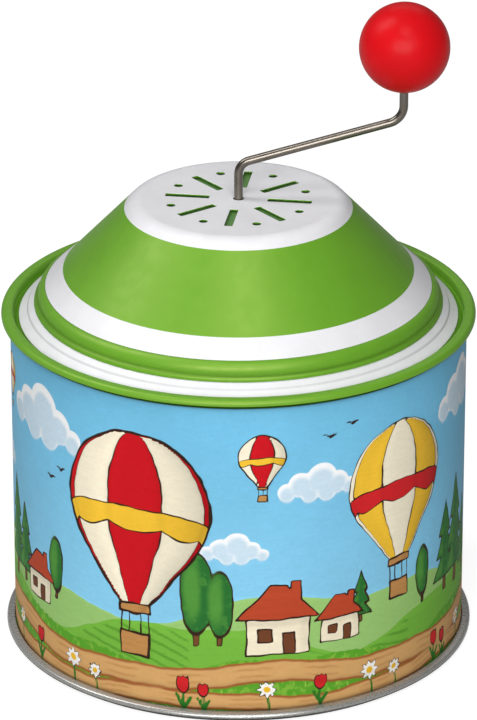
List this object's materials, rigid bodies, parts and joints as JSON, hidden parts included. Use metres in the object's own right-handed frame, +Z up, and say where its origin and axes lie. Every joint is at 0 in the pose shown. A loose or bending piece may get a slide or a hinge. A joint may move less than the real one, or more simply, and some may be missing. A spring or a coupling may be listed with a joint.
{
  "type": "hand crank music box",
  "caption": "Round printed tin with a coned, pierced lid and a bent wire crank with a ball knob; turning the crank drives a pinned cylinder that plays a comb inside.",
  "frame": {"origin": "centre of the base, on the plane that the lower seam stands on", "axes": "+Z up along the tin's axis and the crank's shaft, +X along the crank's arm at rest, the body's side seam at +Y"},
  "size_m": [0.1032, 0.1032, 0.1451],
  "materials": {
    "printed_tin": "varnished print on tinplate",
    "bare_tin": "bare tinplate",
    "green_tin": "satin lacquer, green with white rings",
    "dish_lacquer": "green lacquer",
    "screw_steel": "zinc plated",
    "bracket_steel": "plain",
    "comb_steel": "ground",
    "crank_steel": "polished wire",
    "cast_zinc": "die cast",
    "brass": "plain",
    "white_nylon": "moulded",
    "red_lacquer": "red satin lacquer"
  },
  "bodies": {
    "housing": {"tin_body": "printed_tin", "bottom_end": "bare_tin", "top_ring": "green_tin", "lid": "green_tin", "sound_pan": "dish_lacquer", "carrier_dish": "dish_lacquer", "carrier_screws": "screw_steel", "bedplate": "cast_zinc", "shaft_bracket": "bracket_steel", "bracket_screws": "screw_steel", "upper_bush": "white_nylon", "lower_bush": "white_nylon", "comb": "comb_steel", "comb_screws": "screw_steel"},
    "crank": {"crank": "crank_steel", "worm": "brass", "thrust_washers": "screw_steel", "shaft_clip": "screw_steel"},
    "knob": {"knob": "red_lacquer", "knob_sleeve": "white_nylon"},
    "cylinder": {"cylinder_sleeve": "brass", "cylinder_caps": "brass", "cylinder_arbor": "screw_steel", "arbor_clips": "screw_steel", "worm_wheel": "white_nylon"}
  },
  "joints": [
    {"name": "crank_turn", "type": "hinge", "parent": "housing", "child": "crank", "pos_m": [0, 0, 0.1], "axis": [0, 0, 1], "continuous": true},
    {"name": "knob_spin", "type": "hinge", "parent": "crank", "child": "knob", "pos_m": [0.03536, 0, 0.1353], "axis": [0, 0, 1], "continuous": true},
    {"name": "cylinder_turn", "type": "hinge", "parent": "housing", "child": "cylinder", "pos_m": [0.01055, 0.0095, 0.08251], "axis": [1, 0, 0], "continuous": true}
  ],
  "couplings": [
    {"joint": "cylinder_turn", "follows": "crank_turn", "ratio": 0.05}
  ]
}
